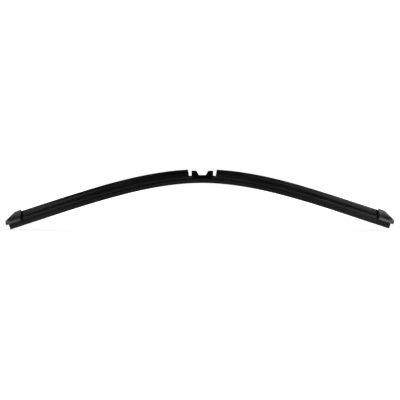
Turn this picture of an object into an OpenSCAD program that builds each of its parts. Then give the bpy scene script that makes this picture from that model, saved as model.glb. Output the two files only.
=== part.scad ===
// Flat beam wiper blade: two spring rails in a rubber strip, two spoilers, a steel connector and two end caps
// X runs along the blade, Y across it and Z away from the glass, with the origin on the connector's seat

/* [Blade] */
// Length along the rails from cap tip to cap tip
blade_len = 600; // [450:10:700]
// How far the connector sits from the middle of the blade
connector_shift = 4; // [0:0.5:20]
// Radius of the free bow at the connector, from where it opens out to straight at the tips
bow_r = 314; // [290:1:900]

/* [Spring rails] */
// Width of one rail
rail_w = 4; // [3.5:0.1:5]
// Thickness of one rail
rail_t = 1; // [0.8:0.05:1.2]
// Distance between the two rails
rail_gap = 2; // [1.6:0.1:2.6]
// How far the rails end short of the cap tips
rail_setback = 6; // [5:0.5:9]

/* [Rubber] */
// Width of the head above the rails
head_w = 5.2; // [4.4:0.1:5.6]
// Height of the head above the rails
head_h = 0.7; // [0.5:0.05:1.2]
// Width of the flange below the rails
flange_w = 6.6; // [5.6:0.1:7]
// Height of the flange below the rails
flange_h = 1.2; // [1:0.1:1.6]
// Width of the neck that lets the lip tilt
neck_w = 0.9; // [0.6:0.1:1.4]
// Height of the neck
neck_h = 1.1; // [0.8:0.1:1.6]
// Width of the lip's shoulders
shoulder_w = 5.8; // [4.6:0.1:6.4]
// Thickness of the wiping edge
lip_w = 0.7; // [0.5:0.05:1.2]
// Depth of the wiping edge below the middle of the rails
lip_depth = 9.4; // [8.5:0.1:13]
// How far the rubber ends short of the cap tips
lip_setback = 3.7; // [3.5:0.1:4.8]

/* [Spoilers] */
// Height of the fin above the middle of the rails
fin_h = 12.1; // [9:0.1:16]
// How much lower the fin is beside the connector
fin_drop = 0.9; // [0:0.1:2.5]
// Distance from the connector over which the fin comes up to its height
fin_drop_len = 150; // [60:5:200]
// Width of the fin along its top
fin_w = 1.8; // [1.2:0.1:3]
// Thickness of the side walls that hold the rails
side_wall = 1.2; // [0.9:0.1:1.8]
// Height of the side walls above the middle of the rails
side_h = 2.1; // [1.5:0.1:2.6]
// Thickness of the claws below the rails
claw_t = 0.7; // [0.5:0.05:1]
// Reach of the claws under the rails
claw_reach = 1; // [0.6:0.1:1.2]
// Length of the slot between the horns and the fin, along its floor
slot_len = 3.65; // [2.6:0.05:6]
// How much longer the slot is at the fin's top
end_rake = 1.1; // [0:0.1:2]
// How far the side walls run on under the horns
tuck = 4; // [2:0.5:5]

/* [Connector] */
// Thickness of the sheet steel
steel_t = 1.2; // [0.8:0.05:1.4]
// Length over the horns
horn_len = 32.4; // [28:0.2:44]
// Height of the horns above the seat
horn_h = 6.6; // [4:0.2:10]
// Width of the trough between the horns at the seat
trough_w = 10.4; // [7:0.2:13]
// Width of the trough at the top of the horns
trough_top_w = 17.6; // [14:0.2:20]
// Inside distance between the two cheeks
cheek_gap = 8.8; // [8:0.1:10.4]
// Length of its claws along the rails
claw_len = 9.6; // [6:0.2:10]
// Reach of its claws under the rails
grip = 1.2; // [0.8:0.1:1.3]

/* [End caps] */
// Length of a cap along its ridge
cap_len = 28.8; // [25:0.5:36]
// How much shorter the cap is along its skirt
mouth_rake = 5.4; // [0:0.2:6]
// Length of the raised rim round the cap's mouth
rim_len = 1.8; // [1.2:0.1:3]
// Height of that rim above the cap's sides
rim_rise = 0.3; // [0.2:0.05:0.5]
// Length of the level part of the cap's ridge
ridge_len = 10.4; // [8:0.1:14]
// Height of the cap's ridge above the fin
ridge_rise = 2.2; // [1.6:0.1:4]
// Height of the cap's tip above the middle of the rails
nose_h = 5; // [4:0.1:8]
// Width of the cap at its skirt
cap_w = 16; // [15:0.2:20]
// Width of the cap at its tip
nose_w = 13.6; // [13.2:0.2:16]
// Radius of the cap's tip seen from above
nose_r = 2.4; // [1:0.1:3]
// Height of the skirt above the middle of the rails
skirt_h = 3.1; // [2.6:0.1:4.5]
// Width of the ridge
ridge_w = 4.4; // [3.6:0.1:6]
// Depth of the cap below the middle of the rails
cap_depth = 1.5; // [1.3:0.1:1.6]

/* [Fits] */
// Clearance round the rails, the rubber's head and under the connector
slip = 0.05; // [0.02:0.01:0.08]
// Clearance of the spoilers in the end caps
cap_slip = 0.15; // [0.05:0.05:0.3]
// Gap from the connector to the rubber below it and to the spoilers
play = 0.15; // [0.1:0.05:0.3]

/* [Hidden] */

RUBBER = [0.05, 0.05, 0.055];
SPOILER = [0.09, 0.09, 0.095];
STEEL = [0.03, 0.03, 0.03];
RAIL = [0.16, 0.16, 0.17];
CAP = [0.13, 0.13, 0.14];

left_len = blade_len / 2 + connector_shift;
right_len = blade_len / 2 - connector_shift;
rail_top = rail_t / 2;
rail_in = rail_gap / 2;
rail_out = rail_in + rail_w;
groove_h = rail_top + slip;
head_top = rail_top + head_h;
seat_h = head_top + play + steel_t;
channel_w = head_w / 2 + slip;
side_in = rail_out + slip;
side_out = side_in + side_wall;
claw_in = rail_out - claw_reach;

// Bow of the blade

// Number of sections on each side of the connector, and how they crowd towards it
MARKS = 26;
CROWD = 1.4;
// Number of Simpson steps from the connector to a place on the rails
STEPS = 16;
WEIGHTS = [for (i = [0:STEPS]) (i == 0 || i == STEPS ? 1 : 2 + 2 * (i % 2)) / (3 * STEPS)];

// Slope of the rails at the distance s from the connector: the bow's curvature falls with the
// square of the distance left to the tip, which presses the lip evenly on the glass
function slope(s) =
  let (half = blade_len / 2)
  sign(s) * half / (3 * bow_r) * (1 - pow(max(0, 1 - abs(s) / half), 3)) * 180 / PI;

// Middle of the rails at the distance s, as [x, z]
function spine(s) =
  s * [[for (i = [0:STEPS]) cos(slope(s * i / STEPS))] * WEIGHTS,
       -[for (i = [0:STEPS]) sin(slope(s * i / STEPS))] * WEIGHTS] - [0, seat_h];

// Place of the section's point p, given as [y, height above the rails' middle]
function on_spine(s, p) =
  let (o = spine(s), a = slope(s))
  [o[0] + p[1] * sin(a), p[0], o[1] + p[1] * cos(a)];

// Distances from a to b at which a strip has its sections
function stations(a, b) = [
  a,
  for (i = [-MARKS:MARKS]) let (s = sign(i) * left_len * pow(abs(i) / MARKS, CROWD))
    if (s > a + 1 && s < b - 1) s,
  b
];

// Swept solids

// Twice the area of the triangle abc, which is positive if it turns to the left
function turn(a, b, c) = (b[0] - a[0]) * (c[1] - a[1]) - (b[1] - a[1]) * (c[0] - a[0]);

function covers(a, b, c, p) = turn(a, b, p) >= 0 && turn(b, c, p) >= 0 && turn(c, a, p) >= 0;

// Can corner k be cut off the ring without cutting another corner?
function is_ear(pts, ring, k) =
  let (n = len(ring), i = ring[(k + n - 1) % n], j = ring[k], l = ring[(k + 1) % n])
  turn(pts[i], pts[j], pts[l]) > 0 &&
  len([for (m = ring) if (m != i && m != j && m != l && covers(pts[i], pts[j], pts[l], pts[m])) m]) == 0;

function first_ear(pts, ring, k = 0) =
  k >= len(ring) - 1 || is_ear(pts, ring, k) ? k : first_ear(pts, ring, k + 1);

// Triangles that fill the outline pts, by cutting off one corner after another
function ears(pts, ring) =
  len(ring) < 3 ? [] :
  let (n = len(ring), k = first_ear(pts, ring))
  concat([[ring[(k + n - 1) % n], ring[k], ring[(k + 1) % n]]],
         ears(pts, [for (i = [0:n - 1]) if (i != k) ring[i]]));

// Solid through the sections outline(s) at the distances in marks
module sweep(marks, outline) {
  rings = [for (s = marks) outline(s)];
  m = len(rings[0]);
  last = len(marks) - 1;
  points = [for (i = [0:last]) for (p = rings[i]) on_spine(marks[i], p)];
  sides = [
    for (i = [0:last - 1], j = [0:m - 1]) let (a = i * m + j, b = i * m + (j + 1) % m)
      each [[a, a + m, b + m], [a, b + m, b]]
  ];
  start = ears(rings[0], [for (j = [0:m - 1]) j]);
  end = [for (t = ears(rings[last], [for (j = [0:m - 1]) j])) [for (j = [2:-1:0]) last * m + t[j]]];
  polyhedron(points, concat(start, sides, end));
}

// Whole outline from its right half, which is given from the bottom to the top
function mirrored(half) = concat(half, [for (i = [len(half) - 1:-1:0]) [-half[i][0], half[i][1]]]);

// Concave flank from the foot p up to q, where it stands upright
FLANK = 7;
function flank(p, q) =
  [for (i = [0:FLANK]) let (t = i / FLANK) [q[0] + (p[0] - q[0]) * pow(1 - t, 2), p[1] + (q[1] - p[1]) * t]];

// Outline through the corners [x, y, d], each eased by a curve over the length d
EASE = 4;
function ease(a, p, b, d) =
  let (u = (a - p) / norm(a - p), v = (b - p) / norm(b - p))
  [for (i = [0:EASE]) let (t = i / EASE) p + d * (pow(1 - t, 2) * u + pow(t, 2) * v)];
function corner(c, i) = let (q = c[(i + len(c)) % len(c)]) [q[0], q[1]];
function eased(c) = [
  for (i = [0:len(c) - 1])
    each c[i][2] == 0 ? [corner(c, i)] : ease(corner(c, i - 1), corner(c, i), corner(c, i + 1), c[i][2])
];

// Rubber

function rubber_half() =
  let (
    edge = lip_w / 2,
    flange = -groove_h - flange_h,
    top = flange - neck_h,
    web = rail_in - slip
  )
  [
    [edge, -lip_depth],
    [edge, -lip_depth + 1],
    [edge + 0.25, -lip_depth + 1.9],
    [edge + 0.75, (top - 1.3 - lip_depth) / 2],
    [shoulder_w / 2 - 1, top - 1.3],
    [shoulder_w / 2, top - 0.9],
    [shoulder_w / 2, top - 0.3],
    [shoulder_w / 2 - 0.3, top],
    [neck_w / 2, top],
    [neck_w / 2, flange],
    [flange_w / 2 - 0.5, flange],
    [flange_w / 2, flange + 0.5],
    [flange_w / 2, -groove_h],
    [web, -groove_h],
    [web, groove_h],
    [head_w / 2, groove_h],
    [head_w / 2, head_top - 0.3],
    [head_w / 2 - 0.4, head_top]
  ];

module wiper_rubber()
  color(RUBBER)
    sweep(stations(-left_len + lip_setback, right_len - lip_setback), function (s) mirrored(rubber_half()));

// Spring rails

module spring_rail(y) {
  section = [
    [y - rail_w / 2, -rail_top], [y + rail_w / 2, -rail_top],
    [y + rail_w / 2, rail_top], [y - rail_w / 2, rail_top]
  ];
  sweep(stations(-left_len + rail_setback, right_len - rail_setback), function (s) section);
}

module spring_rail_front()
  color(RAIL) spring_rail(-rail_in - rail_w / 2);

module spring_rail_rear()
  color(RAIL) spring_rail(rail_in + rail_w / 2);

// Spoilers

wall_start = horn_len / 2 - tuck;
fin_start = horn_len / 2 + slot_len;
spoiler_insert = ridge_len + 0.8;
crown = 0.4;

function fin_top(s) = fin_h - fin_drop * pow(max(0, 1 - abs(s) / fin_drop_len), 2);

// Outside of the spoiler's right half, grown by g
function spoiler_side(s, g = 0) = concat(
  [[side_out + g, side_h - 0.3]],
  flank([side_out - 0.3 + g, side_h + g], [fin_w / 2 + g, fin_top(s) - crown + g]),
  [[fin_w / 2 - crown + g, fin_top(s) + g]]
);

function spoiler_half(s) = concat(
  [
    [channel_w, head_top + slip],
    [channel_w, groove_h],
    [side_in, groove_h],
    [side_in, -groove_h],
    [claw_in, -groove_h],
    [claw_in, -groove_h - claw_t],
    [side_out - 0.5, -groove_h - claw_t],
    [side_out, -groove_h - claw_t + 0.5]
  ],
  spoiler_side(s)
);

// Plate across the blade over the outline of places [distance along the rails, height above them]
module across(outline, width)
  translate([0, width / 2, 0]) rotate([90, 0, 0]) linear_extrude(width)
    polygon([for (p = outline) let (q = on_spine(p[0], [0, p[1]])) [q[0], q[2]]]);

// Spoiler from the connector to the distance end on the right arm. Beside the connector the fin is
// cut away, and its side walls run on under the horns, past the seat plate and the rubber's head
module spoiler(end) {
  floor_h = side_h - 0.05;
  above = fin_h + 3;
  reach = horn_len / 2 + 2 * play;
  plate_w = cheek_gap + 2 * steel_t + 2 * play;
  head_room = head_w + 1;
  color(SPOILER) difference() {
    sweep(stations(wall_start, end), function (s) mirrored(spoiler_half(s)));
    across([[wall_start - 2, floor_h], [fin_start, floor_h],
            [fin_start + end_rake * (above - floor_h) / (fin_h - floor_h), above], [wall_start - 2, above]],
           2 * side_out + 4);
    translate([0, -plate_w / 2, -steel_t - play]) cube([reach, plate_w, fin_h]);
    translate([0, -head_room / 2, -seat_h]) cube([reach, head_room, fin_h]);
  }
}

module spoiler_left()
  mirror([1, 0, 0]) spoiler(left_len - cap_len + spoiler_insert);

module spoiler_right()
  spoiler(right_len - cap_len + spoiler_insert);

// Connector

// Heights of the top and the bottom of its claws
claw_z = -seat_h - groove_h;
foot_z = claw_z - steel_t;

module both(v) {
  children();
  mirror(v) children();
}

// Folded channel: seat plate and cheeks, cut to the horns and the trough
module channel() {
  out = cheek_gap / 2 + steel_t;
  bend = 0.8;
  section = eased([
    [-out, -steel_t, bend + steel_t], [out, -steel_t, bend + steel_t], [out, horn_h, 0],
    [out - steel_t, horn_h, 0], [out - steel_t, 0, bend], [steel_t - out, 0, bend],
    [steel_t - out, horn_h, 0], [-out, horn_h, 0]
  ]);
  side = eased([
    [-horn_len / 2, -steel_t, 0], [horn_len / 2, -steel_t, 0], [horn_len / 2, horn_h, 0.7],
    [trough_top_w / 2, horn_h, 1.2], [trough_w / 2, 0, 0.8], [-trough_w / 2, 0, 0.8],
    [-trough_top_w / 2, horn_h, 1.2], [-horn_len / 2, horn_h, 0.7]
  ]);
  intersection() {
    translate([-horn_len / 2 - 1, 0, 0]) rotate([90, 0, 90]) linear_extrude(horn_len + 2) polygon(section);
    translate([0, out + 1, 0]) rotate([90, 0, 0]) linear_extrude(2 * out + 2) polygon(side);
  }
}

// Side of the connector, len long, that goes down past the rail's edge and ends in the corners foot
module side_plate(len, foot) {
  out = side_in + steel_t;
  root = side_in - 2;
  section = eased(concat(
    [[root, 0, 0], [root, -steel_t, 0], [side_in, -steel_t, 0]], foot, [[out, foot_z, 0.8], [out, 0, 0.8]]
  ));
  translate([-len / 2, 0, 0]) rotate([90, 0, 90]) linear_extrude(len) polygon(section);
}

module connector_bracket()
  color(STEEL) {
    channel();
    both([0, 1, 0]) {
      side_plate(2 * (wall_start - play), [[side_in, foot_z, 0]]);
      side_plate(claw_len, [[side_in, claw_z, 0], [rail_out - grip, claw_z, 0], [rail_out - grip, foot_z, 0]]);
    }
  }

// End caps

slope_len = cap_len - ridge_len;
ridge_h = fin_h + ridge_rise;
NOSE = 4;
// Share of the slope over which it bends into the level ridge
BEND = 0.07;

// Ramp that starts from nothing at 0, with its corner rounded over BEND
function ramp(t) = t < -BEND ? 0 : t > BEND ? t : pow(t + BEND, 2) / (4 * BEND);

// Height of the ridge at the distance d from the tip
function ridge(d) = ridge_h - (ridge_h - nose_h) * ramp(1 - d / slope_len);

// How far the rounded tip draws in at the distance d from the tip
function draw_in(d) = d >= nose_r ? 0 : nose_r - sqrt(nose_r * nose_r - pow(nose_r - d, 2));

// Right half of the cap's outline at the distance d from the tip, grown by g
function cap_half(d, g = 0) =
  let (
    in = draw_in(d),
    w = nose_w / 2 + (cap_w - nose_w) / 2 * min(1, d / slope_len) - in + g,
    top = ridge(d) - in / 2 + g / 2,
    low = -cap_depth + in / 2 - g / 2,
    knee = min(skirt_h, top - 1.4),
    r = min(ridge_w / 2, w - 1.6) + g
  )
  concat(
    [[w - 0.3, low], [w, low + 0.3], [w, knee - 0.5]],
    flank([w - 0.5, knee], [r, top - 0.9]),
    [[r * 0.86, top - 0.35], [r * 0.55, top - 0.1], [r * 0.2, top]]
  );

// Room in the cap for the end of the spoiler, open below
function spoiler_room(s) =
  concat([[side_out + cap_slip, -cap_depth - 1]], spoiler_side(s, cap_slip));

// Room for the rails and the rubber's head beyond the spoiler, open below
function rail_room() = [
  [claw_in, -cap_depth - 1], [claw_in, -groove_h], [side_in, -groove_h], [side_in, groove_h],
  [channel_w, groove_h], [channel_w, head_top + slip]
];

// Plate over the cap's inner end, up to its raked mouth and on by the length reach
module mouth(len, reach) {
  a = len - cap_len;
  edge = [
    [a + mouth_rake, -cap_depth - 2], [a + mouth_rake, skirt_h - 1], [a + mouth_rake - 0.6, skirt_h + 1],
    [a, ridge_h], [a, ridge_h + 2]
  ];
  across(concat([for (p = edge) p + [reach, 0]], [[a - 3, ridge_h + 2], [a - 3, -cap_depth - 2]]), 2 * cap_w);
}

// Cap on the end of an arm of the length len to the right of the connector
module cap(len) {
  body = [
    len - cap_len, for (k = [1 + BEND, 1 + BEND / 3, 1 - BEND / 3, 1 - BEND, 0.75, 0.5, 0.27]) len - k * slope_len,
    for (i = [0:NOSE - 1]) len - nose_r * (1 - sin(i * 90 / NOSE)), len
  ];
  color(CAP) difference() {
    union() {
      sweep([for (i = [0:len(body) - 1]) if (i == 0 || body[i] > body[i - 1] + 0.01) body[i]],
            function (s) mirrored(cap_half(len - s)));
      intersection() {
        sweep([for (i = [0:4]) if (i == 0 || body[i] > body[i - 1] + 0.01) body[i]],
              function (s) mirrored(cap_half(len - s, rim_rise)));
        mouth(len, rim_len);
      }
    }
    mouth(len, 0);
    sweep([len - cap_len - 1, len - cap_len + spoiler_insert + cap_slip], function (s) mirrored(spoiler_room(len)));
    sweep([len - cap_len + 1, len - lip_setback + cap_slip], function (s) mirrored(rail_room()));
  }
}

module end_cap_left()
  mirror([1, 0, 0]) cap(left_len);

module end_cap_right()
  cap(right_len);

wiper_rubber();
spring_rail_front();
spring_rail_rear();
spoiler_left();
spoiler_right();
connector_bracket();
end_cap_left();
end_cap_right();
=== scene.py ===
import math

import bmesh
import bpy
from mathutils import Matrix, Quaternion, Vector


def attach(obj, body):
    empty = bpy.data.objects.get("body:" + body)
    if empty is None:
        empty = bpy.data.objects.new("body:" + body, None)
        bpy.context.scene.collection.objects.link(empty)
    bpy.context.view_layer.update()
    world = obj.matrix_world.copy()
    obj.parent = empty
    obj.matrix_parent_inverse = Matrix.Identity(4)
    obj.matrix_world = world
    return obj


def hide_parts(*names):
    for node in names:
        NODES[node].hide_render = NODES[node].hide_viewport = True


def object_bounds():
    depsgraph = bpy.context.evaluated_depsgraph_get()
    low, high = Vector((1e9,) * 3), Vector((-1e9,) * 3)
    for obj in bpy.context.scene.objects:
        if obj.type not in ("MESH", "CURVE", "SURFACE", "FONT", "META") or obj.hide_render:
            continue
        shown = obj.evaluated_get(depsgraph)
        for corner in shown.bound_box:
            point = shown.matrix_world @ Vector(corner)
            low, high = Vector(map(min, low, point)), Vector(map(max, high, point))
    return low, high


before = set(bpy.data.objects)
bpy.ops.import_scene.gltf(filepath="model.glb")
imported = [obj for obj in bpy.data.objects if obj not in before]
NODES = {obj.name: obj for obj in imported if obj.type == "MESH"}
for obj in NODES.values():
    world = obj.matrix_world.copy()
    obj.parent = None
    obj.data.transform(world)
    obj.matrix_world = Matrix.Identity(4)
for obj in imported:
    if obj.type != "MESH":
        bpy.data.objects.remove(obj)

MM = 0.001
cad_lo, cad_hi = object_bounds()
for spare in ("Cube", "Light", "Camera"):
    if spare in bpy.data.objects and spare not in NODES:
        bpy.data.objects.remove(bpy.data.objects[spare])

scene = bpy.context.scene
scene.view_settings.view_transform = "Standard"

# ---------------------------------------------------------------- measures, as part.scad has them

HALF_LEN = 300 * MM
SHIFT = 4 * MM
BOW_R = 314 * MM
SEAT = 2.55 * MM
# Drop of the rails' middle at the distance x from the connector, over x squared, as a polynomial
BOW = (1.589, -3.2611, 2.3323)
BOW_STEPS = 200
# The caps' mouths: their distance from the tip at the ridge, and how they rake towards the skirt
CAP_LEN = 28.8 * MM
RIDGE_H = 14.3 * MM
BEND_H = 4.1 * MM
MOUTH_LEAN = 4.8 * MM
MOUTH_RAKE = 5.4 * MM
# The connector's side plates end at PLATE_X, and the spoilers' side walls start short of WALL_X
PLATE_X = 12.05 * MM
WALL_X = 12.35 * MM
BUTT_GAP = 0.02 * MM

# ---------------------------------------------------------------- zones of the rubber's finish, and of its painted light and shade

# Distances from the connector between which the rubber turns paler, as painted light, and less
# smooth
PAINTED_LIGHT_X = (0.15, 0.27)
SMOOTH_X = (0.11, 0.2)
SMOOTHER_BY = 0.09
# Heights over the rails' middle: where the smoother part ends, the spoiler's fold, the lip's coat
SMOOTH_H = (1.8 * MM, 2.8 * MM)
FOLD_LOW = (2.0 * MM, 3.2 * MM)
FOLD_HIGH = (4.8 * MM, 7.0 * MM)
COAT_H = (-4.6 * MM, -3.6 * MM)
# The painted shade on the rubber beside the connector, and the painted shadow line that starts
# outside each cap's mouth
PAINTED_SHADE_X = (15 * MM, 17 * MM)
PAINTED_SHADE_H = (-3.8 * MM, -2.8 * MM)
SHADOW_LINE_START = 4.5 * MM
SHADOW_LINE_FULL = 3.5 * MM

# ---------------------------------------------------------------- noise in the finishes

# Scales, from the widest blotches to the finest grain
BLOOM = 90.0
PLASTIC_CLOUD = 120.0
STEEL_CLOUD = 160.0
RUBBED = 420.0
ORANGE_PEEL = 1500.0
PLASTIC_GRAIN = 2600.0
STEEL_SPECK = 3800.0
RUBBER_GRAIN = 5200.0
# How much of its scale a noise keeps along the blade, so that it is drawn out there
STREAK_DRAWN = (0.012, 1, 1)
BLOOM_DRAWN = (0.25, 1, 1)
# Noise values between which the colour changes to its patches, and other effects vary
PATCHES = (0.35, 0.7)
CLOUDS = (0.3, 0.7)
# Cosine of the angle from a face to its rounded edge: worn through below, untouched above
EDGE_LEVEL = (0.8, 0.985)


def grey(v):
    return (v, v, v)


# Near black of the painted shade beside the connector and of the painted shadow lines beside the
# caps
PAINTED_SHADE_BLACK = grey(0.0003)

# ---------------------------------------------------------------- materials


class Nodes:
    """Short ways to build a node tree."""

    def __init__(self, name):
        self.mat = bpy.data.materials.new(name)
        self.mat.use_nodes = True
        self.tree = self.mat.node_tree
        self.bsdf = self.tree.nodes["Principled BSDF"]
        self.coord = self.tree.nodes.new("ShaderNodeTexCoord").outputs["Object"]

    def new(self, kind):
        return self.tree.nodes.new("ShaderNode" + kind)

    def link(self, a, b):
        self.tree.links.new(a, b)

    def fill(self, socket, value):
        if isinstance(value, (int, float)):
            socket.default_value = value
        elif isinstance(value, tuple):
            socket.default_value = (*value, 1.0)
        else:
            self.link(value, socket)

    def math(self, op, *values):
        n = self.new("Math")
        n.operation = op
        for socket, value in zip(n.inputs, values):
            self.fill(socket, value)
        return n.outputs[0]

    def split(self, vec):
        n = self.new("SeparateXYZ")
        self.link(vec, n.inputs[0])
        return n.outputs

    def join(self, *values):
        n = self.new("CombineXYZ")
        for socket, value in zip(n.inputs, values):
            self.fill(socket, value)
        return n.outputs[0]

    def scaled(self, vec, by):
        n = self.new("Mapping")
        n.inputs["Scale"].default_value = by
        self.link(vec, n.inputs["Vector"])
        return n.outputs[0]

    def noise(self, vec, scale, detail=4.0, rough=0.55):
        n = self.new("TexNoise")
        n.inputs["Scale"].default_value = scale
        n.inputs["Detail"].default_value = detail
        n.inputs["Roughness"].default_value = rough
        self.link(vec, n.inputs["Vector"])
        return n.outputs["Fac"]

    def ranged(self, value, span, lo, hi):
        """A smooth step from lo to hi while the value goes through the span."""
        n = self.new("MapRange")
        n.interpolation_type = "SMOOTHSTEP"
        for key, v in zip(("From Min", "From Max", "To Min", "To Max"), (*span, lo, hi)):
            n.inputs[key].default_value = v
        self.link(value, n.inputs["Value"])
        return n.outputs["Result"]

    def blend(self, fac, a, b):
        n = self.new("Mix")
        n.data_type = "RGBA"
        for i, v in ((0, fac), (6, a), (7, b)):
            self.fill(n.inputs[i], v)
        return n.outputs[2]

    def bump(self, height, distance, strength, under=None):
        n = self.new("Bump")
        n.inputs["Strength"].default_value = strength
        n.inputs["Distance"].default_value = distance
        self.link(height, n.inputs["Height"])
        if under is not None:
            self.link(under, n.inputs["Normal"])
        return n.outputs["Normal"]

    def worn_edges(self, width):
        """1 along the piece's edges, broken up as rubbed edges are, and 0 on its faces."""
        rounded = self.new("Bevel")
        rounded.samples = 6
        rounded.inputs["Radius"].default_value = width
        same = self.new("VectorMath")
        same.operation = "DOT_PRODUCT"
        self.link(rounded.outputs["Normal"], same.inputs[0])
        self.link(self.new("NewGeometry").outputs["Normal"], same.inputs[1])
        edge = self.ranged(same.outputs["Value"], EDGE_LEVEL, 1.0, 0.0)
        rubbed = self.ranged(self.noise(self.coord, RUBBED), (0.4, 0.62), 0.2, 1.0)
        return self.math("MULTIPLY", edge, rubbed)

    def finish(self, colour, rough, normal, specular):
        self.link(colour, self.bsdf.inputs["Base Color"])
        self.link(rough, self.bsdf.inputs["Roughness"])
        self.link(normal, self.bsdf.inputs["Normal"])
        self.bsdf.inputs["Specular IOR Level"].default_value = specular
        return self.mat


def bow_at(s):
    """Place of the rails' middle at the distance s along the bow, and the bow's angle there."""

    def angle(d):
        return HALF_LEN / (3 * BOW_R) * (1 - max(0.0, 1 - d / HALF_LEN) ** 3)

    step = s / BOW_STEPS
    angles = [angle((i + 0.5) * step) for i in range(BOW_STEPS)]
    x = sum(map(math.cos, angles)) * step
    z = -sum(map(math.sin, angles)) * step - SEAT
    return x, z, angle(s)


def mouth_shadow_mask(n, side):
    """Mask of the painted shadow line: 1 from just outside the mouth of that side's cap to the tip,
    and 0 on the open blade.
    """
    x0, z0, angle = bow_at(HALF_LEN - side * SHIFT - CAP_LEN)
    x, _, z = n.split(n.coord)
    dx = n.math("MULTIPLY_ADD", x, side, -x0)
    dz = n.math("ADD", z, -z0)
    c, s = math.cos(angle), math.sin(angle)
    along = n.math("SUBTRACT", n.math("MULTIPLY", dx, c), n.math("MULTIPLY", dz, s))
    up = n.math("ADD", n.math("MULTIPLY", dx, s), n.math("MULTIPLY", dz, c))
    lean = MOUTH_LEAN / (RIDGE_H - BEND_H)
    mouth = n.math("MINIMUM", n.math("MULTIPLY_ADD", up, -lean, lean * RIDGE_H), MOUTH_RAKE)
    return n.ranged(n.math("SUBTRACT", along, mouth), (-SHADOW_LINE_START, -SHADOW_LINE_FULL), 0.0, 1.0)


def along_blade(n):
    """Coordinates that follow the bow: x, y and the height over the rails, and |x|."""
    x, y, z = n.split(n.coord)
    away = n.math("ABSOLUTE", x)
    drop = n.math("MULTIPLY_ADD", away, BOW[2], BOW[1])
    drop = n.math("MULTIPLY_ADD", away, drop, BOW[0])
    drop = n.math("MULTIPLY", n.math("MULTIPLY", away, away), drop)
    return x, y, n.math("ADD", n.math("ADD", z, drop), SEAT), away


def rubber(name, base, patch, ends, rough, specular, streak, coat=None, fold=None):
    """Extruded rubber with streaks and a cloudy bloom, and painted light that pales it towards its
    ends.

    The streaks are as wide as streak says. The strip has its coat on the lip. The spoiler is paler
    in its fold. Both have painted shade beside the connector, and the spoiler has a painted shadow
    line beside each cap.
    """
    n = Nodes(name)
    x, y, h, away = along_blade(n)
    blade = n.join(x, y, h)
    streaks = n.noise(n.scaled(blade, STREAK_DRAWN), 1 / streak, detail=3.0)
    bloom = n.noise(n.scaled(blade, BLOOM_DRAWN), BLOOM, detail=5.0, rough=0.6)
    grain = n.noise(n.coord, RUBBER_GRAIN, detail=2.0)

    colour = n.blend(n.ranged(bloom, PATCHES, 0.0, 1.0), base, patch)
    colour = n.blend(n.ranged(streaks, (0.45, 0.75), 0.0, 0.35), colour, patch)
    if coat:
        coated = n.ranged(h, COAT_H, 1.0, 0.0)
        coated = n.math("MULTIPLY", coated, n.ranged(streaks, CLOUDS, 0.75, 1.0))
        colour = n.blend(coated, colour, coat)
    if fold:
        # Paler in the spoiler's fold, patchy with the bloom
        fold_pale = n.math("MULTIPLY", n.ranged(h, FOLD_LOW, 0.0, 0.8), n.ranged(h, FOLD_HIGH, 1.0, 0.0))
        fold_pale = n.math("MULTIPLY", fold_pale, n.ranged(bloom, CLOUDS, 0.8, 1.0))
        colour = n.blend(fold_pale, colour, fold)
    # Painted light: the rubber is paler towards its ends, patchy with the bloom
    painted_light = n.ranged(away, PAINTED_LIGHT_X, 0.0, 1.0)
    painted_light = n.math("MULTIPLY", painted_light, n.ranged(bloom, CLOUDS, 0.75, 1.0))
    colour = n.blend(painted_light, colour, ends)

    cloudy = n.ranged(bloom, CLOUDS, rough - 0.05, rough + 0.07)
    gloss = n.math("ADD", cloudy, n.ranged(streaks, (0.4, 0.7), -0.03, 0.03))
    smooth = n.ranged(away, SMOOTH_X, SMOOTHER_BY, 0.0)
    smooth = n.math("MULTIPLY", smooth, n.ranged(h, SMOOTH_H, 1.0, 0.0))
    gloss = n.math("SUBTRACT", gloss, smooth)

    # Painted shade beside the connector and, on the spoiler, a painted shadow line beside each cap:
    # near black and fully rough
    painted_shade = n.math("MULTIPLY", n.ranged(away, PAINTED_SHADE_X, 1.0, 0.0), n.ranged(h, PAINTED_SHADE_H, 0.0, 1.0))
    if fold:
        painted_shade = n.math("MAXIMUM", painted_shade, n.math("MAXIMUM", mouth_shadow_mask(n, 1), mouth_shadow_mask(n, -1)))
    colour = n.blend(painted_shade, colour, PAINTED_SHADE_BLACK)
    gloss = n.math("MAXIMUM", gloss, painted_shade)

    normal = n.bump(grain, 0.02 * MM, 0.5)
    normal = n.bump(streaks, 0.03 * MM, 0.6, normal)
    return n.finish(colour, gloss, normal, specular)


def steel(name, base, patch, worn, rough, specular):
    """Black coated steel with a faint orange peel and rubbed edges."""
    n = Nodes(name)
    cloud = n.noise(n.coord, STEEL_CLOUD, detail=5.0, rough=0.6)
    peel = n.noise(n.coord, ORANGE_PEEL, detail=2.0)
    speck = n.noise(n.coord, STEEL_SPECK, detail=1.0)
    colour = n.blend(n.ranged(cloud, PATCHES, 0.0, 1.0), base, patch)
    colour = n.blend(n.worn_edges(0.3 * MM), colour, worn)
    cloudy = n.ranged(cloud, CLOUDS, rough - 0.04, rough + 0.06)
    gloss = n.math("ADD", cloudy, n.ranged(speck, (0.45, 0.7), 0.0, 0.05))
    return n.finish(colour, gloss, n.bump(peel, 0.03 * MM, 0.5), specular)


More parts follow.
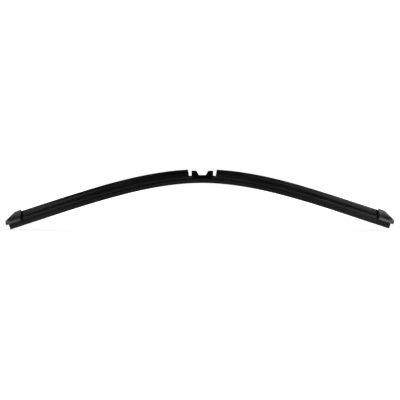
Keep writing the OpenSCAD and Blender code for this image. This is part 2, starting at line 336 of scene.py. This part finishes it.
def plastic(name, base, patch, worn, rough, specular):
    """Fine-grained moulded plastic with rubbed edges."""
    n = Nodes(name)
    cloud = n.noise(n.coord, PLASTIC_CLOUD, detail=5.0, rough=0.6)
    grain = n.noise(n.coord, PLASTIC_GRAIN, detail=3.0, rough=0.6)
    colour = n.blend(n.ranged(cloud, PATCHES, 0.0, 1.0), base, patch)
    colour = n.blend(n.ranged(grain, (0.5, 0.8), 0.0, 0.4), colour, patch)
    colour = n.blend(n.worn_edges(0.4 * MM), colour, worn)
    cloudy = n.ranged(cloud, CLOUDS, rough - 0.04, rough + 0.05)
    gloss = n.math("ADD", cloudy, n.ranged(grain, (0.4, 0.7), -0.03, 0.04))
    return n.finish(colour, gloss, n.bump(grain, 0.06 * MM, 0.8), specular)


STRIP = rubber(
    "strip_rubber_black",
    base=grey(0.001),
    patch=grey(0.002),
    # Painted light: the paler colour towards the blade's ends
    ends=grey(0.011),
    rough=0.27,
    specular=0.11,
    streak=0.5 * MM,
    coat=grey(0.003),
)
SPOILER = rubber(
    "spoiler_rubber_black",
    base=grey(0.001),
    patch=grey(0.0025),
    # Painted light: the paler colour towards the blade's ends
    ends=grey(0.012),
    rough=0.26,
    specular=0.125,
    streak=0.7 * MM,
    fold=grey(0.006),
)
RAIL = steel(
    "rail_steel_black",
    base=grey(0.0012),
    patch=grey(0.002),
    worn=grey(0.02),
    rough=0.4,
    specular=0.1,
)
BRACKET = steel(
    "bracket_steel_black",
    base=grey(0.0004),
    patch=grey(0.0009),
    worn=grey(0.014),
    rough=0.3,
    specular=0.014,
)
CAP = plastic(
    "cap_plastic_black",
    base=grey(0.013),
    patch=grey(0.02),
    worn=grey(0.04),
    rough=0.33,
    specular=0.3,
)

# ---------------------------------------------------------------- pieces

# Limits within which points are one, an edge has no length and two faces are one
SAME_POINT = 1e-6
NO_LENGTH = 1e-7
FLAT = math.radians(0.6)


def dressed(node, slot, material, edge, angle=30.0):
    """A copy of a CAD node with its facets joined, its curved faces smooth and its edges rounded.

    Edges that turn by more than the angle, in degrees, are rounded by edge. A spoiler's end is
    drawn up to the connector's side plates, so that no light shows between.
    """
    mesh = bpy.data.meshes.new(node + "_skin")
    bm = bmesh.new()
    bm.from_mesh(NODES[node].data)
    if slot == "spoiler_rubber":
        for vert in bm.verts:
            if abs(vert.co.x) < WALL_X:
                vert.co.x = math.copysign(PLATE_X + BUTT_GAP, vert.co.x)
    bmesh.ops.remove_doubles(bm, verts=bm.verts, dist=SAME_POINT)
    bmesh.ops.dissolve_degenerate(bm, dist=NO_LENGTH, edges=bm.edges)
    bmesh.ops.dissolve_limit(
        bm, angle_limit=FLAT, verts=bm.verts, edges=bm.edges, delimit={"NORMAL"}
    )
    bm.normal_update()
    limit = math.radians(angle)
    for face in bm.faces:
        face.smooth = True
    for e in bm.edges:
        e.smooth = not (len(e.link_faces) == 2 and e.calc_face_angle(0.0) > limit)
    bm.to_mesh(mesh)
    bm.free()
    obj = bpy.data.objects.new(node + "_skin", mesh)
    scene.collection.objects.link(obj)
    obj.data.materials.append(material)
    mod = obj.modifiers.new("Rounded", "BEVEL")
    mod.width = edge
    mod.segments = 2
    mod.limit_method = "ANGLE"
    mod.angle_limit = limit
    mod.use_clamp_overlap = True
    mod.harden_normals = True
    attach(obj, "root")
    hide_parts(node)


dressed("wiper_rubber", "strip_rubber", STRIP, 0.1 * MM, 32.0)
dressed("spring_rail_front", "rail_steel", RAIL, 0.12 * MM)
dressed("spring_rail_rear", "rail_steel", RAIL, 0.12 * MM)
dressed("spoiler_left", "spoiler_rubber", SPOILER, 0.18 * MM, 32.0)
dressed("spoiler_right", "spoiler_rubber", SPOILER, 0.18 * MM, 32.0)
dressed("connector_bracket", "bracket_steel", BRACKET, 0.14 * MM)
dressed("end_cap_left", "cap_plastic", CAP, 0.15 * MM, 32.0)
dressed("end_cap_right", "cap_plastic", CAP, 0.15 * MM, 32.0)

# ---------------------------------------------------------------- floor, backdrop, world

FLOOR_Z = cad_lo.z - 0.3 * MM
FLOOR_HALF = 9.0
BACKDROP_Y = 7.0
BACKDROP_TOP = 8.0
# Distances from the object between which the lamps' light on the floor fades
LIT_R = (0.45, 1.5)
PALE = grey(0.82)


def shown_white(name, glow, near=None):
    """A pale stage that is lifted to white where the camera, gloss or glass sees it.

    Inside the light round the object the lift is only near, which keeps the object's shadow.
    """
    n = Nodes(name)
    n.fill(n.bsdf.inputs["Base Color"], PALE)
    n.bsdf.inputs["Roughness"].default_value = 0.9
    n.bsdf.inputs["Specular IOR Level"].default_value = 0.1
    path = n.new("LightPath").outputs
    seen = n.math("MAXIMUM", path["Is Camera Ray"], path["Is Glossy Ray"])
    seen = n.math("MAXIMUM", seen, path["Is Transmission Ray"])
    if near is not None:
        away = n.new("VectorMath")
        away.operation = "LENGTH"
        n.link(n.coord, away.inputs[0])
        glow = n.ranged(away.outputs["Value"], LIT_R, near, glow)
    light = n.new("Emission")
    n.link(n.math("MULTIPLY", seen, glow), light.inputs["Strength"])
    both = n.new("AddShader")
    n.link(n.bsdf.outputs[0], both.inputs[0])
    n.link(light.outputs[0], both.inputs[1])
    n.link(both.outputs[0], n.tree.nodes["Material Output"].inputs["Surface"])
    return n.mat


def sheet(name, corners, material):
    mesh = bpy.data.meshes.new(name)
    mesh.from_pydata(corners, [], [(0, 1, 2, 3)])
    obj = bpy.data.objects.new(name, mesh)
    scene.collection.objects.link(obj)
    obj.data.materials.append(material)


SIDES = ((-1, -1), (1, -1), (1, 1), (-1, 1))
sheet(
    "floor",
    [(a * FLOOR_HALF, b * FLOOR_HALF, FLOOR_Z) for a, b in SIDES],
    shown_white("floor_pale", 0.95, 0.47),
)
sheet(
    "backdrop",
    [(a * FLOOR_HALF, BACKDROP_Y, FLOOR_Z if b < 0 else BACKDROP_TOP) for a, b in SIDES],
    shown_white("backdrop_pale", 0.94),
)

world = bpy.data.worlds.new("studio")
scene.world = world
world.use_nodes = True
sky = world.node_tree.nodes["Background"]
sky.inputs["Color"].default_value = (1, 1, 1, 1)
sky.inputs["Strength"].default_value = 0.02

# ---------------------------------------------------------------- lamps


def softbox(name, at, towards, width, height, radiance):
    """Area light whose strength is given as the brightness of its surface."""
    light = bpy.data.lights.new(name, "AREA")
    light.shape = "RECTANGLE"
    light.size = width
    light.size_y = height
    light.energy = radiance * math.pi * width * height
    obj = bpy.data.objects.new(name, light)
    scene.collection.objects.link(obj)
    obj.location = at
    obj.rotation_mode = "QUATERNION"
    obj.rotation_quaternion = (Vector(towards) - Vector(at)).to_track_quat("-Z", "Y")
    obj.visible_camera = False


LAMP_DISTANCE = 1.8
LAMP_AIM = (0, 0, -30 * MM)


def studio(name, azimuth, elevation, size, radiance):
    """Square softbox round the object: azimuth 0 is the camera's side and 90 is the right."""
    a, e = math.radians(azimuth), math.radians(elevation)
    way = Vector((math.sin(a) * math.cos(e), -math.cos(a) * math.cos(e), math.sin(e)))
    softbox(name, way * LAMP_DISTANCE, LAMP_AIM, size, size, radiance)


studio("box_right", 26, 6, 0.6, 18.0)
studio("box_left", -29, 6, 0.6, 8.5)
studio("high_right", 32, 40, 0.6, 3.8)
studio("high_left", -38, 40, 0.6, 2.8)
studio("rear_top", 180, 65, 0.8, 2.8)
softbox("rear_wide", (0, 4.2, 3.2), (0, 0, 0), 6.0, 2.5, 3.0)

# ---------------------------------------------------------------- camera

# Size of a pixel at the object, the pixel that shows the origin, and the picture's turn
PIXEL = 1.4995 * MM
ORIGIN_PX = (202.35, 175.05)
ROLL = math.radians(0.1)
DISTANCE = 3.0
ELEVATION = math.radians(1.0)
IMAGE = 400
SENSOR = 36.0

camera = bpy.data.objects.new("camera", bpy.data.cameras.new("camera"))
scene.collection.objects.link(camera)
camera.data.sensor_width = SENSOR
camera.data.lens = SENSOR * DISTANCE / (IMAGE * PIXEL)
camera.data.clip_start = 0.1
camera.data.clip_end = 60.0
du = (IMAGE / 2 - ORIGIN_PX[0]) * PIXEL
dv = (ORIGIN_PX[1] - IMAGE / 2) * PIXEL
c, s = math.cos(ROLL), math.sin(ROLL)
aim = Vector((du * c - dv * s, 0, du * s + dv * c))
back = Vector((0, -math.cos(ELEVATION), math.sin(ELEVATION)))
camera.location = aim + back * DISTANCE
camera.rotation_mode = "QUATERNION"
camera.rotation_quaternion = Quaternion(back, ROLL) @ (-back).to_track_quat("-Z", "Y")
scene.camera = camera
